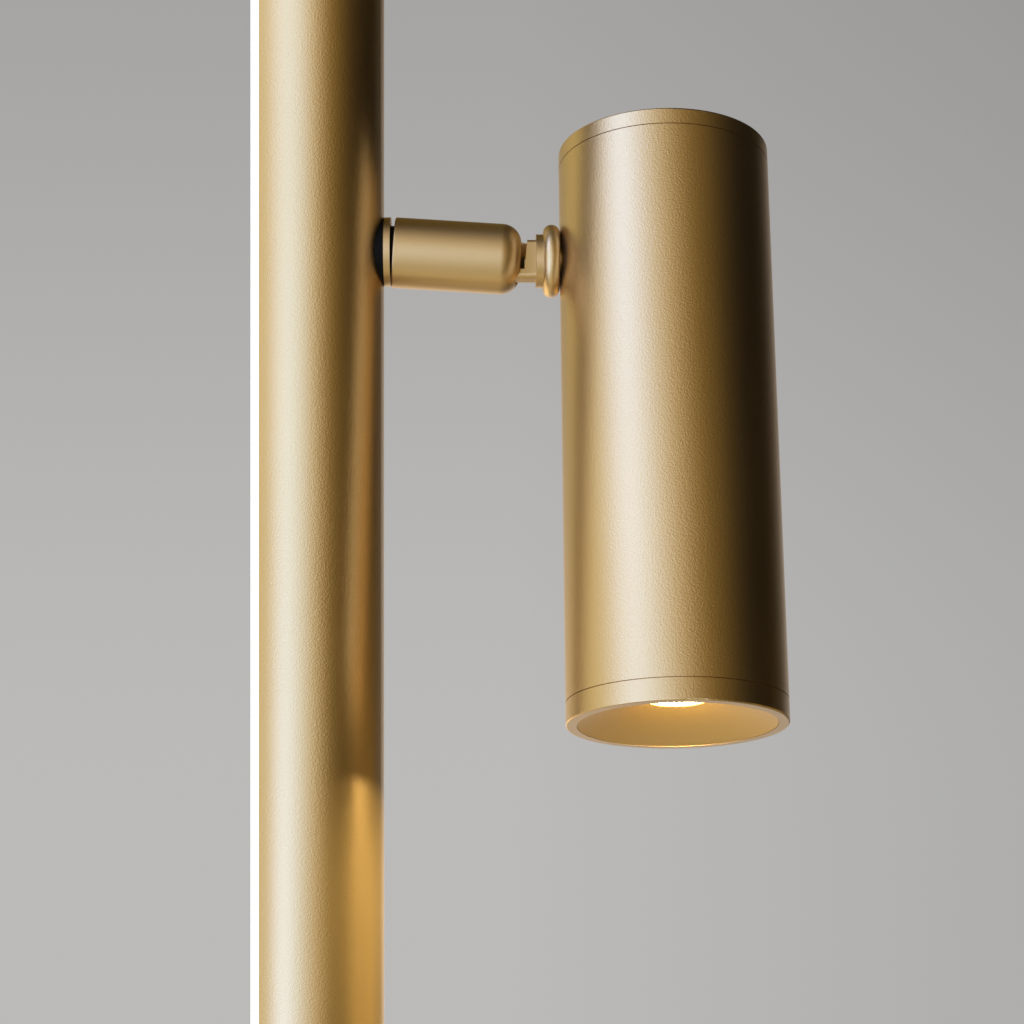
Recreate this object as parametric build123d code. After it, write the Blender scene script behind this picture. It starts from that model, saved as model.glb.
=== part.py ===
from build123d import *

import math
import os

# Floor lamp: a round pole with a line of light along one side and a swivelling spot on a short arm.
# Origin on the floor under the middle of the base, +Z up, arm towards +X, line of light towards -X.
# Lengths are in millimetres and angles in degrees.

# Clearances, each on one face or on the radius
RUNNING_FIT = 0.05  # a shaft or pin that turns in its hole
PRESS_FIT = 0.02  # a pin that is pressed in
SEAT_FIT = 0.1  # a plug, screw or ring that stays where it is put
SLIDE_FIT = 0.2  # a long piece that slides into the pole

# Base
BASE_DIA = 280.0
BASE_THICK = 16.0
BASE_EDGE_ROUND = 3.0
BASE_UNDER_CHAMFER = 1.0
BASE_WEB = 6.0  # metal left above the wiring recess
RECESS_DIA = 120.0
COVER_LEDGE = 10.0
COVER_THICK = 1.5
COVER_SCREW_DIA = 3.0
COVER_SCREW_GRIP = 7.0
COVER_SCREW_COUNT = 4
PAD_THICK = 2.0
PAD_INSET = 5.0
PAD_COVER_GAP = 5.0  # between the pad and the lid
CHANNEL_WIDTH = 12.0  # groove under the base that takes the cord out to the rim
GLAND_LENGTH = 18.0
GLAND_BORE = 7.2
GLAND_INSET = 0.5
GLAND_MOUTH_CHAMFER = 0.8
BLOCK_WIDTH = 22.0  # terminal block
BLOCK_DEPTH = 14.0
BLOCK_HEIGHT = 7.0
BLOCK_FRONT = 23.0
BLOCK_SCREW_DIA = 3.2

# Pole
LAMP_HEIGHT = 1600.0
POLE_DIA = 40.0
POLE_WALL = 2.0
SLOT_WIDTH = 28.3
SHELF_OFFSET = 7.0  # from the pole's axis to the face that carries the light tape
SHELF_THICK = 1.6
POLE_CAP_THICK = 4.0
POLE_CAP_ROUND = 1.0
POLE_CAP_PLUG = 12.0
SPIGOT_HEIGHT = 60.0
SPIGOT_SCREW_DIA = 5.0
SPIGOT_SCREW_REACH = 18.0
SPIGOT_SCREW_RADIUS = 13.0
SPIGOT_SCREW_ANGLES = (38.0, -38.0, -85.0)
SET_SCREW_DIA = 5.0
SET_SCREW_LENGTH = 8.0
SET_SCREW_SINK = 0.3
SET_SCREW_HEIGHTS = (28.0, 46.0)

# Line of light
LINE_RECESS = 2.3  # how far the cover's crown lies inside the pole's full circle
LINE_END_GAP = 0.3
COVER_WALL = 1.6
COVER_LEG_WALL = 1.3
COVER_LEG_LENGTH = 6.4
BARB_REACH = 0.55
BARB_LENGTH = 1.2
TAPE_WIDTH = 10.0
TAPE_THICK = 0.5
TAPE_END_GAP = 8.0
TAPE_FEED_HEIGHT = 75.0
PHOSPHOR_WIDTH = 4.0
PHOSPHOR_THICK = 1.2
PHOSPHOR_END_GAP = 4.0

# Leads inside the lamp
POLE_LEAD_DIA = 3.4
TAPE_LEAD_DIA = 2.4
HEAD_LEAD_DIA = 2.6
LEAD_HOLE_FIT = 0.4
POLE_LEAD_PLACE = (-2.4, 0.0)
TAPE_LEAD_PLACE = (2.2, -3.6)
BASE_LEAD_BEND = 5.8
POLE_LEAD_BEND = 9.0
TAPE_LEAD_BEND = 5.0
HEAD_LEAD_BEND = 15.0

# Arm
PIN_HEIGHT = 1250.7
ARM_DROP = 3.5  # the arm falls this much from level as it leaves the pole
ARM_TURN = -17.6  # how far the barrel is turned on the arm's axis at rest
GASKET_THICK = 0.2  # at its thinnest, over the pole's crest
GASKET_INSET = 0.4
COLLAR_DIA = 19.6
COLLAR_THICK = 1.8
SWIVEL_GAP = 0.2
WEDGE_DIA = 15.0  # washer that fills the wedge between the collar and the barrel
NIPPLE_DIA = 10.0
NIPPLE_BORE = 6.0
NIPPLE_TAIL = 1.5
FLANGE_DIA = 14.0
FLANGE_THICK = 3.0
FLANGE_FREE = 0.5
SADDLE_DIA = 16.0
SADDLE_THICK = 3.0
NIPPLE_NUT_FLATS = 14.0
NIPPLE_NUT_THICK = 5.0
BUSH_DIA = 16.0
BUSH_LENGTH = 6.0
BUSH_SINK = 0.5
WASHER_THICK = 0.6
WASHER_INSET = 0.5
BARREL_DIA = 20.0
BARREL_LENGTH = 36.0
BARREL_END_ROUND = 5.6
BARREL_START_ROUND = 0.4
PIN_SETBACK = 8.2  # from the barrel's end to the pin
PIN_DIA = 4.0
PIN_FRONT_COVER = 2.5  # metal left over the pin's blind end
PIN_BACK_SINK = 0.3
DISC_DIA = 9.0
DISC_THICK = 0.5
FORK_FLOOR_SLOPE = 4.0  # room below the blade when the head tilts down

# Tongue and ring
BLADE_HEIGHT = 11.7
BLADE_THICK = 5.2
BLADE_EDGE_ROUND = 1.2
BLADE_END_GAP = 0.5
TONGUE_DROP = 0.8  # from the pin down to the blade's middle line
TONGUE_REACH = 12.5  # from the pin to the stepped collar
POCKET_DEPTH = 3.6
POCKET_HEEL = 0.3  # depth at the end that hides in the fork
POCKET_FOOT = 3.4  # from the blade's middle line down to the pocket's foot
POCKET_TOP_REACH = 10.1
POCKET_FOOT_REACH = 9.2
POCKET_BACK = 5.0
STEP_DIA = 15.2
STEP_THICK = 2.0
RING_DIA = 20.65
RING_THICK = 4.7
RING_GAP = 0.1
STUD_DIA = 8.0
STUD_BORE = 3.6
STUD_TAIL = 1.5
HEAD_SADDLE_DIA = 16.0
HEAD_SADDLE_THICK = 3.0
HEAD_NUT_FLATS = 13.0
HEAD_NUT_THICK = 4.5

# Head
HEAD_DIA = 60.0
HEAD_LENGTH = 167.8
HEAD_WALL = 2.0
HEAD_ABOVE_ARM = 33.3
CAP_BAND = 4.9
CAP_EDGE_ROUND = 0.5
CAP_PLUG_DEPTH = 8.0
CAP_PLUG_WALL = 3.0
SEAM_GAP = 0.25  # narrow dark groove above and below the shell
SEAM_DEPTH = 0.8
BEZEL_BAND = 6.25
BEZEL_RIM = 3.0
BEZEL_PLUG_DEPTH = 8.0
BEZEL_EDGE_ROUND = 0.4
REFLECTOR_INSET = 0.1
REFLECTOR_DEPTH = 7.0
REFLECTOR_WALL = 1.0
REFLECTOR_SKIRT = 7.0
LENS_DIA = 17.0
LENS_FLANGE = 2.0
LENS_FLANGE_THICK = 1.0
EMITTER_DIA = 11.0
EMITTER_THICK = 0.8
BOARD_DIA = 34.0
BOARD_THICK = 1.6
BOARD_SCREW_DIA = 3.0
BOARD_SCREW_GRIP = 5.0
BOARD_SCREW_RADIUS = 13.7
SINK_PLATE = 5.0
SINK_HEIGHT = 50.0
FIN_COUNT = 6
FIN_PITCH = 8.0
FIN_THICK = 1.8

# Screw proportions, as shares of the screw's diameter
SCREW_HEAD_DIA = 1.8
SCREW_HEAD_HEIGHT = 0.7
SOCKET_FLATS = 0.8
SET_SOCKET_FLATS = 0.5
SOCKET_DEPTH = 0.4

# Levels and radii that follow
base_bottom = PAD_THICK
base_top = base_bottom + BASE_THICK
recess_top = base_top - BASE_WEB
cover_top = base_bottom + COVER_THICK
cover_radius = RECESS_DIA / 2 + COVER_LEDGE
cover_screw_radius = RECESS_DIA / 2 + COVER_LEDGE / 2
lead_level = (cover_top + recess_top) / 2
pole_top = LAMP_HEIGHT - POLE_CAP_THICK
pole_radius = POLE_DIA / 2
pole_inner = pole_radius - POLE_WALL
shelf_back = SHELF_THICK - SHELF_OFFSET
slot_lip = -math.sqrt(pole_radius**2 - (SLOT_WIDTH / 2) ** 2)

# The arm's axis runs through the pin and falls away from the pole
drop = math.radians(ARM_DROP)
head_bend = math.degrees(math.atan2(math.tan(drop), math.cos(math.radians(ARM_TURN))))
collar_inner = pole_radius + GASKET_THICK
collar_outer = collar_inner + COLLAR_THICK
barrel_start = PIN_SETBACK - BARREL_LENGTH
barrel_low_corner = BARREL_DIA / 2 * math.sin(drop) - barrel_start * math.cos(drop)
pin_x = collar_outer + SWIVEL_GAP + barrel_low_corner
arm_frame = Pos(pin_x, 0, PIN_HEIGHT) * Rot(0, ARM_DROP, 0)
barrel_frame = arm_frame * Rot(ARM_TURN, 0, 0)
head_frame = barrel_frame * Rot(0, -head_bend, 0) * Pos(0, 0, -TONGUE_DROP)

# Places along the arm's axis, from the pin
saddle_flat = (pole_inner - pin_x) / math.cos(drop) - SADDLE_THICK
nipple_start = saddle_flat - NIPPLE_NUT_THICK - NIPPLE_TAIL
bush_start = barrel_start + BUSH_SINK
washer_start = bush_start + BUSH_LENGTH + RUNNING_FIT
flange_start = washer_start + WASHER_THICK + RUNNING_FIT
nipple_end = flange_start + FLANGE_THICK
fork_width = BLADE_THICK + 2 * DISC_THICK + 4 * RUNNING_FIT
fork_bottom = -BLADE_HEIGHT / 2 - TONGUE_DROP - BLADE_END_GAP

# Places along the tongue's axis, from the pin
step_end = TONGUE_REACH + STEP_THICK
ring_end = step_end + RING_THICK
head_side = ring_end + RING_GAP
head_x = head_side + HEAD_DIA / 2
head_saddle_flat = head_side + HEAD_WALL + HEAD_SADDLE_THICK
stud_end = head_saddle_flat + HEAD_NUT_THICK + STUD_TAIL

# Levels in the head, from the arm
head_radius = HEAD_DIA / 2
head_inner = head_radius - HEAD_WALL
head_top = HEAD_ABOVE_ARM
head_bottom = HEAD_ABOVE_ARM - HEAD_LENGTH
shell_top = head_top - CAP_BAND
shell_bottom = head_bottom + BEZEL_BAND
seam_radius = head_radius - SEAM_DEPTH
bezel_bore = head_radius - BEZEL_RIM
bezel_top = shell_bottom + BEZEL_PLUG_DEPTH
reflector_foot = head_bottom + REFLECTOR_INSET
reflector_top = reflector_foot + REFLECTOR_DEPTH
reflector_rim = bezel_bore - SEAT_FIT
reflector_mouth = LENS_DIA / 2 + SEAT_FIT
lens_bottom = reflector_top
flange_bottom = reflector_top + REFLECTOR_WALL + SEAT_FIT
lens_top = flange_bottom + LENS_FLANGE_THICK
emitter_bottom = lens_top + SEAT_FIT
board_bottom = emitter_bottom + EMITTER_THICK
board_top = board_bottom + BOARD_THICK
sink_plate_top = bezel_top + SINK_PLATE


def disc(radius, z0, z1):
    """Upright cylinder on the Z axis."""
    return Pos(0, 0, (z0 + z1) / 2) * Cylinder(radius, z1 - z0)


def rod_x(radius, x0, x1):
    """Cylinder on the X axis."""
    return Pos((x0 + x1) / 2, 0, 0) * Rot(0, 90, 0) * Cylinder(radius, x1 - x0)


def rod_y(radius, y0, y1):
    """Cylinder on the Y axis."""
    return Pos(0, (y0 + y1) / 2, 0) * Rot(90, 0, 0) * Cylinder(radius, y1 - y0)


def block(x0, x1, y0, y1, z0, z1):
    """Box between two corners."""
    middle = ((x0 + x1) / 2, (y0 + y1) / 2, (z0 + z1) / 2)
    return Pos(*middle) * Box(x1 - x0, y1 - y0, z1 - z0)


def hex_x(flats, x0, x1):
    """Six-sided bar on the X axis."""
    outline = RegularPolygon(flats / 2, 6, major_radius=False)
    return Pos(x0, 0, 0) * Rot(0, 90, 0) * extrude(outline, x1 - x0)


def round_edges(shape, axis, place, radius):
    """Rounds the outermost circle at one end of a turned piece."""
    ends = shape.edges().filter_by(GeomType.CIRCLE).group_by(axis)[place]
    return fillet(ends.sort_by(SortBy.RADIUS)[-1], radius)


def bevel_edges(shape, axis, place, size):
    """Chamfers the outermost circle at one end of a turned piece."""
    ends = shape.edges().filter_by(GeomType.CIRCLE).group_by(axis)[place]
    return chamfer(ends.sort_by(SortBy.RADIUS)[-1], size)


def group(pieces):
    """Several separate solids under one name."""
    return Compound([solid for piece in pieces for solid in piece.solids()])


def socket_screw(dia, grip):
    """Screw that points up, with the underside of its head at z = 0."""
    head_height = SCREW_HEAD_HEIGHT * dia
    socket = RegularPolygon(SOCKET_FLATS * dia / 2, 6, major_radius=False)
    screw = disc(dia / 2, -SEAT_FIT, grip) + disc(SCREW_HEAD_DIA * dia / 2, -head_height, 0)
    return screw - Pos(0, 0, -head_height) * extrude(socket, SOCKET_DEPTH * dia)


def lead(points, bends, dia):
    """Insulated wire along straight runs joined by arcs."""
    path = FilletPolyline(*points, radius=bends)
    return sweep(Plane(path @ 0, z_dir=path % 0) * Circle(dia / 2), path)


def cover_screw_places():
    """Spots on the ledge, clear of the cord's channel."""
    for number in range(COVER_SCREW_COUNT):
        angle = math.radians(360 / COVER_SCREW_COUNT * (number + 0.5))
        yield cover_screw_radius * math.cos(angle), cover_screw_radius * math.sin(angle)


def spigot_screw_places():
    """Spots under the pole, clear of the leads."""
    for degrees in SPIGOT_SCREW_ANGLES:
        angle = math.radians(degrees)
        yield SPIGOT_SCREW_RADIUS * math.cos(angle), SPIGOT_SCREW_RADIUS * math.sin(angle)


def lead_holes(z0, z1):
    """Holes for the two leads that rise from the base into the pole."""
    pole_hole = Pos(*POLE_LEAD_PLACE) * disc(POLE_LEAD_DIA / 2 + LEAD_HOLE_FIT, z0, z1)
    return pole_hole + Pos(*TAPE_LEAD_PLACE) * disc(TAPE_LEAD_DIA / 2 + LEAD_HOLE_FIT, z0, z1)


def chamber_plug(z0, z1):
    """D-shaped plug that fills the pole's wiring side, behind the shelf."""
    plug = disc(pole_inner - SLIDE_FIT, z0, z1)
    return plug - block(-pole_radius, shelf_back + SLIDE_FIT, -pole_radius, pole_radius, z0, z1)


def set_screw_cut(fit, x0):
    """Cross holes for the two screws that lock the pole to its spigot."""
    rod = rod_x(SET_SCREW_DIA / 2 + fit, x0, POLE_DIA)
    low, high = SET_SCREW_HEIGHTS
    return Pos(0, 0, base_top + low) * rod + Pos(0, 0, base_top + high) * rod


def nipple_hole():
    """Room for the nipple, along the sloping arm."""
    return arm_frame * rod_x(NIPPLE_DIA / 2 + SEAT_FIT, saddle_flat, barrel_start)


def countersink(x, y, fit):
    """Cone of a flat-headed cover screw."""
    small = COVER_SCREW_DIA / 2 + fit
    cone = Cone(small + COVER_THICK, small, COVER_THICK)
    return Pos(x, y, base_bottom + COVER_THICK / 2) * cone


def base_plate():
    """Heavy round plate with a wiring recess and a cord channel underneath."""
    plate = disc(BASE_DIA / 2, base_bottom, base_top)
    plate = round_edges(plate, Axis.Z, -1, BASE_EDGE_ROUND)
    plate = bevel_edges(plate, Axis.Z, 0, BASE_UNDER_CHAMFER)
    plate -= disc(RECESS_DIA / 2, base_bottom, recess_top)
    plate -= disc(cover_radius + SEAT_FIT, base_bottom, cover_top)
    half = CHANNEL_WIDTH / 2
    plate -= block(-half, half, 0, BASE_DIA, base_bottom, recess_top)
    plate -= lead_holes(recess_top, base_top)
    for x, y in spigot_screw_places():
        plate -= Pos(x, y) * disc(SPIGOT_SCREW_DIA / 2 + SEAT_FIT, recess_top, base_top)
    for x, y in cover_screw_places():
        hole = disc(COVER_SCREW_DIA / 2 + SEAT_FIT, cover_top, cover_top + COVER_SCREW_GRIP)
        plate -= Pos(x, y) * hole
    return plate


def base_pad():
    """Non-slip ring that the lamp stands on."""
    outer = disc(BASE_DIA / 2 - PAD_INSET, 0, PAD_THICK)
    return outer - disc(cover_radius + PAD_COVER_GAP, 0, PAD_THICK)


def base_cover():
    """Sheet lid over the wiring recess."""
    lid = disc(cover_radius, base_bottom, cover_top)
    for x, y in cover_screw_places():
        lid -= countersink(x, y, SEAT_FIT)
    return lid


def cover_screws():
    """Flat-headed screws that hold the lid."""
    shank = disc(COVER_SCREW_DIA / 2, cover_top - SEAT_FIT, cover_top + COVER_SCREW_GRIP - SEAT_FIT)
    return group(countersink(x, y, 0) + Pos(x, y) * shank for x, y in cover_screw_places())


def cord_gland():
    """Bush in the base's rim where the mains cord goes in."""
    half = CHANNEL_WIDTH / 2 - SEAT_FIT
    outer = BASE_DIA / 2 - GLAND_INSET
    bush = block(-half, half, outer - GLAND_LENGTH, outer, base_bottom, recess_top - SEAT_FIT)
    bore = rod_y(GLAND_BORE / 2, outer - GLAND_LENGTH, outer)
    bush -= Pos(0, 0, (base_bottom + recess_top) / 2) * bore
    mouths = bush.edges().filter_by(GeomType.CIRCLE)
    return chamfer(mouths, GLAND_MOUTH_CHAMFER)


def terminal_block():
    """Screw block that joins the cord to the lamp's two leads."""
    half = BLOCK_WIDTH / 2
    back = BLOCK_FRONT + BLOCK_DEPTH
    body = block(-half, half, BLOCK_FRONT, back, recess_top - BLOCK_HEIGHT, recess_top)
    for (x, _), dia in ((POLE_LEAD_PLACE, POLE_LEAD_DIA), (TAPE_LEAD_PLACE, TAPE_LEAD_DIA)):
        body -= Pos(x, 0, lead_level) * rod_y(dia / 2 + SEAT_FIT, BLOCK_FRONT, back)
        screw = disc(BLOCK_SCREW_DIA / 2, recess_top - BLOCK_HEIGHT, lead_level)
        body -= Pos(x, BLOCK_FRONT + BLOCK_DEPTH / 2) * screw
    return body


def pole_spigot():
    """Steel plug on the base that the pole slides over."""
    top = base_top + SPIGOT_HEIGHT
    plug = chamber_plug(base_top, top) - lead_holes(base_top, top)
    for x, y in spigot_screw_places():
        reach = SPIGOT_SCREW_REACH + SEAT_FIT
        plug -= Pos(x, y) * disc(SPIGOT_SCREW_DIA / 2 + SEAT_FIT, base_top, base_top + reach)
    return plug - set_screw_cut(SEAT_FIT, pole_radius - SET_SCREW_SINK - SET_SCREW_LENGTH)


def spigot_screws():
    """Screws that pull the spigot down on the base."""
    screw = socket_screw(SPIGOT_SCREW_DIA, BASE_WEB + SPIGOT_SCREW_REACH)
    return group(Pos(x, y, recess_top) * screw for x, y in spigot_screw_places())


def pole_set_screws():
    """Headless screws that lock the pole on its spigot."""
    end = pole_radius - SET_SCREW_SINK
    socket = hex_x(SET_SOCKET_FLATS * SET_SCREW_DIA, end - SOCKET_DEPTH * SET_SCREW_DIA, end)
    screw = rod_x(SET_SCREW_DIA / 2, end - SET_SCREW_LENGTH, end) - socket
    return group(Pos(0, 0, base_top + height) * screw for height in SET_SCREW_HEIGHTS)


def pole_profile():
    """Extruded pole: a slotted tube with a shelf inside for the light tape."""
    half = SLOT_WIDTH / 2
    tube = Circle(pole_radius) - Circle(pole_inner)
    tube -= Pos(-pole_radius, 0) * Rectangle(POLE_DIA, SLOT_WIDTH)
    shelf = Pos(shelf_back - SHELF_THICK / 2, 0) * Rectangle(SHELF_THICK, POLE_DIA)
    section = tube + (shelf & Circle(pole_inner + POLE_WALL / 2))
    pole = extrude(Pos(0, 0, base_top) * section, pole_top - base_top)
    pole -= nipple_hole() + set_screw_cut(SEAT_FIT, 0)
    feed = rod_x(TAPE_LEAD_DIA / 2 + LEAD_HOLE_FIT, -SHELF_OFFSET, shelf_back)
    return pole - Pos(0, TAPE_LEAD_PLACE[1], base_top + TAPE_FEED_HEIGHT) * feed


def pole_cap():
    """Lid on the pole's top, with a plug into the wiring side."""
    lid = disc(pole_radius, pole_top, LAMP_HEIGHT)
    lid = round_edges(lid, Axis.Z, -1, POLE_CAP_ROUND)
    return lid + chamber_plug(pole_top - POLE_CAP_PLUG, pole_top)


def line_diffuser():
    """Opal cover that bulges a little out of the slot and snaps in behind its lips."""
    half = SLOT_WIDTH / 2 - SLIDE_FIT
    crown = LINE_RECESS - pole_radius
    leg_end = slot_lip + COVER_LEG_LENGTH
    inside = half - COVER_LEG_WALL
    outline = ThreePointArc((slot_lip, -half), (crown, 0), (slot_lip, half))
    inner = slot_lip + COVER_WALL
    outline += Polyline((slot_lip, half), (leg_end, half), (leg_end, inside), (inner, inside))
    outline += ThreePointArc((inner, inside), (crown + COVER_WALL, 0), (inner, -inside))
    outline += Polyline((inner, -inside), (leg_end, -inside), (leg_end, -half), (slot_lip, -half))
    section = make_face(outline)
    barb_tip = half + BARB_REACH
    barb = -math.sqrt((pole_inner - SLIDE_FIT) ** 2 - barb_tip**2)
    for side in (1, -1):
        points = ((barb, half), (barb, barb_tip), (barb + BARB_LENGTH, half), (barb, inside))
        section += make_face(Polyline(*((x, side * y) for x, y in points), close=True))
    length = pole_top - base_top - 2 * LINE_END_GAP
    return extrude(Pos(0, 0, base_top + LINE_END_GAP) * section, length)


def led_tape():
    """Circuit tape on the shelf, facing the opal cover."""
    face = -SHELF_OFFSET
    half = TAPE_WIDTH / 2
    return block(
        face - TAPE_THICK, face, -half, half, base_top + TAPE_END_GAP, pole_top - TAPE_END_GAP
    )


def led_phosphor():
    """Unbroken bead of phosphor along the tape, which gives the light."""
    face = -SHELF_OFFSET - TAPE_THICK
    half = PHOSPHOR_WIDTH / 2
    end_gap = TAPE_END_GAP + PHOSPHOR_END_GAP
    return block(
        face - PHOSPHOR_THICK, face, -half, half, base_top + end_gap, pole_top - end_gap
    )


def pole_lead():
    """Wire from the terminal block up the pole and into the hollow nipple."""
    x, y = POLE_LEAD_PLACE
    end = arm_frame * Pos(nipple_end)
    turn = PIN_HEIGHT + (pin_x - x) * math.tan(drop)
    points = (
        (x, BLOCK_FRONT + BLOCK_DEPTH / 2, lead_level),
        (x, y, lead_level),
        (x, y, turn),
        tuple(end.position),
    )
    return lead(points, (BASE_LEAD_BEND, POLE_LEAD_BEND), POLE_LEAD_DIA)


def tape_lead():
    """Wire from the terminal block to the foot of the light tape."""
    x, y = TAPE_LEAD_PLACE
    feed = base_top + TAPE_FEED_HEIGHT
    points = (
        (x, BLOCK_FRONT + BLOCK_DEPTH / 2, lead_level),
        (x, y, lead_level),
        (x, y, feed),
        (-SHELF_OFFSET, y, feed),
    )
    return lead(points, (BASE_LEAD_BEND, TAPE_LEAD_BEND), TAPE_LEAD_DIA)


def collar_height():
    """Level of the arm's axis at the collar."""
    return PIN_HEIGHT + (pin_x - collar_inner) * math.tan(drop)


def arm_gasket():
    """Black saddle, round against the pole and flat against the collar."""
    saddle = rod_x(COLLAR_DIA / 2 - GASKET_INSET, 0, collar_inner)
    saddle = Pos(0, 0, collar_height()) * saddle
    saddle -= disc(pole_radius + SEAT_FIT / 2, PIN_HEIGHT - POLE_DIA, PIN_HEIGHT + POLE_DIA)
    return saddle - nipple_hole()


def arm_collar():
    """Thin disc between the gasket and the barrel."""
    collar = Pos(0, 0, collar_height()) * rod_x(COLLAR_DIA / 2, collar_inner, collar_outer)
    return collar - nipple_hole()


def arm_wedge():
    """Black washer, flat on the collar and square to the sloping barrel."""
    washer = arm_frame * rod_x(WEDGE_DIA / 2, barrel_start - POLE_DIA / 2, barrel_start - RUNNING_FIT)
    low = PIN_HEIGHT - POLE_DIA
    high = PIN_HEIGHT + POLE_DIA
    washer &= block(collar_outer, pin_x, -pole_radius, pole_radius, low, high)
    return washer - nipple_hole()


def arm_nipple():
    """Hollow threaded shaft through the pole's wall, with the flange that keeps the barrel on."""
    shaft = rod_x(NIPPLE_DIA / 2, nipple_start, nipple_end)
    shaft += rod_x(FLANGE_DIA / 2, flange_start, nipple_end)
    return arm_frame * (shaft - rod_x(NIPPLE_BORE / 2, nipple_start, nipple_end))


def inner_saddle():
    """Washer that sits round in the pole and gives the nut a flat seat."""
    washer = rod_x(SADDLE_DIA / 2, saddle_flat, saddle_flat + SADDLE_THICK + POLE_WALL)
    inside = disc(pole_inner - SEAT_FIT / 2, PIN_HEIGHT - POLE_DIA, PIN_HEIGHT + POLE_DIA)
    return ((arm_frame * washer) & inside) - nipple_hole()


def nipple_nut():
    """Nut inside the pole that clamps the nipple, the saddles and the collar."""
    start = saddle_flat - NIPPLE_NUT_THICK
    nut = hex_x(NIPPLE_NUT_FLATS, start, saddle_flat)
    return arm_frame * (nut - rod_x(NIPPLE_DIA / 2 + PRESS_FIT, start, saddle_flat))


def fork_slot():
    """Slot in the barrel, open at its top and end, with a floor that slopes down to the end."""
    floor_end = fork_bottom - PIN_SETBACK * math.tan(math.radians(FORK_FLOOR_SLOPE))
    outline = Polyline(
        (fork_bottom, BARREL_DIA),
        (fork_bottom, fork_bottom),
        (0, fork_bottom),
        (PIN_SETBACK, floor_end),
        (PIN_SETBACK, BARREL_DIA),
        close=True,
    )
    return Pos(0, fork_width / 2, 0) * extrude(Plane.XZ * make_face(outline), fork_width)


def knuckle_barrel():
    """Round barrel that turns on the nipple and forks at its rounded end."""
    barrel = rod_x(BARREL_DIA / 2, barrel_start, PIN_SETBACK)
    barrel = round_edges(barrel, Axis.X, -1, BARREL_END_ROUND)
    barrel = round_edges(barrel, Axis.X, 0, BARREL_START_ROUND)
    barrel -= rod_x(BUSH_DIA / 2 + SEAT_FIT, barrel_start, nipple_end + FLANGE_FREE)
    barrel -= rod_x(NIPPLE_BORE / 2, nipple_end, fork_bottom) + fork_slot()
    pin_front = PIN_FRONT_COVER - BARREL_DIA / 2
    return barrel_frame * (barrel - rod_y(PIN_DIA / 2 + PRESS_FIT, pin_front, BARREL_DIA))


def swivel_bush():
    """Threaded bush in the barrel's mouth that runs on the nipple."""
    bush = rod_x(BUSH_DIA / 2, bush_start, bush_start + BUSH_LENGTH)
    bore = rod_x(NIPPLE_DIA / 2 + RUNNING_FIT, bush_start, bush_start + BUSH_LENGTH)
    return barrel_frame * (bush - bore)


def swivel_washer():
    """Friction washer between the bush and the nipple's flange."""
    end = washer_start + WASHER_THICK
    washer = rod_x(BUSH_DIA / 2 - WASHER_INSET, washer_start, end)
    return barrel_frame * (washer - rod_x(NIPPLE_DIA / 2 + SLIDE_FIT, washer_start, end))


def hinge_pin():
    """Pin across the fork, pressed in from the back and blind at the front."""
    front = PIN_FRONT_COVER + SEAT_FIT - BARREL_DIA / 2
    return barrel_frame * rod_y(PIN_DIA / 2, front, BARREL_DIA / 2 - PIN_BACK_SINK)


def friction_discs():
    """Two thin discs that grip the blade inside the fork."""
    start = BLADE_THICK / 2 + RUNNING_FIT
    end = start + DISC_THICK
    front = rod_y(DISC_DIA / 2, -end, -start) - rod_y(PIN_DIA / 2 + SEAT_FIT, -end, -start)
    back = rod_y(DISC_DIA / 2, start, end) - rod_y(PIN_DIA / 2 + SEAT_FIT, start, end)
    return barrel_frame * group([front, back])


def blade_pocket():
    """Pocket in the blade's front, open at its top, that deepens towards the stud and lets the wire in."""
    top = BLADE_HEIGHT / 2
    front = -BLADE_THICK / 2
    outline = Polyline(
        (POCKET_BACK, -POCKET_FOOT),
        (POCKET_FOOT_REACH, -POCKET_FOOT),
        (POCKET_TOP_REACH, top),
        (POCKET_BACK, top),
        close=True,
    )
    plan = Polyline(
        (POCKET_BACK, front),
        (POCKET_TOP_REACH, front),
        (POCKET_TOP_REACH, front + POCKET_DEPTH),
        (POCKET_BACK, front + POCKET_HEEL),
        close=True,
    )
    pocket = Pos(0, front + POCKET_DEPTH, 0) * extrude(Plane.XZ * make_face(outline), POCKET_DEPTH)
    return pocket & Pos(0, 0, -POCKET_FOOT) * extrude(make_face(plan), POCKET_FOOT + top)


def knuckle_tongue():
    """Blade on the pin, with a stepped collar and a hollow stud into the head."""
    half_height = BLADE_HEIGHT / 2
    half_thick = BLADE_THICK / 2
    eye = rod_y(half_height, -half_thick, half_thick)
    eye = round_edges(eye, Axis.Y, 0, BLADE_EDGE_ROUND)
    eye = round_edges(eye, Axis.Y, -1, BLADE_EDGE_ROUND)
    blade = block(0, TONGUE_REACH, -half_thick, half_thick, -half_height, half_height)
    tongue = eye + fillet(blade.edges().filter_by(Axis.X), BLADE_EDGE_ROUND)
    tongue += rod_x(STEP_DIA / 2, TONGUE_REACH, step_end)
    tongue += rod_x(STUD_DIA / 2, step_end, stud_end)
    pin_hole = rod_y(PIN_DIA / 2 + RUNNING_FIT, -half_thick, half_thick)
    tongue -= Pos(0, 0, TONGUE_DROP) * pin_hole + blade_pocket()
    return head_frame * (tongue - rod_x(STUD_BORE / 2, POCKET_FOOT_REACH, stud_end))


def head_ring():
    """Round-edged ring between the stepped collar and the head."""
    ring = rod_x(RING_DIA / 2, step_end, ring_end)
    rim = 0.49 * RING_THICK
    ring = round_edges(ring, Axis.X, 0, rim)
    ring = round_edges(ring, Axis.X, -1, rim)
    return head_frame * (ring - rod_x(STUD_DIA / 2 + SEAT_FIT, step_end, ring_end))


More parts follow.
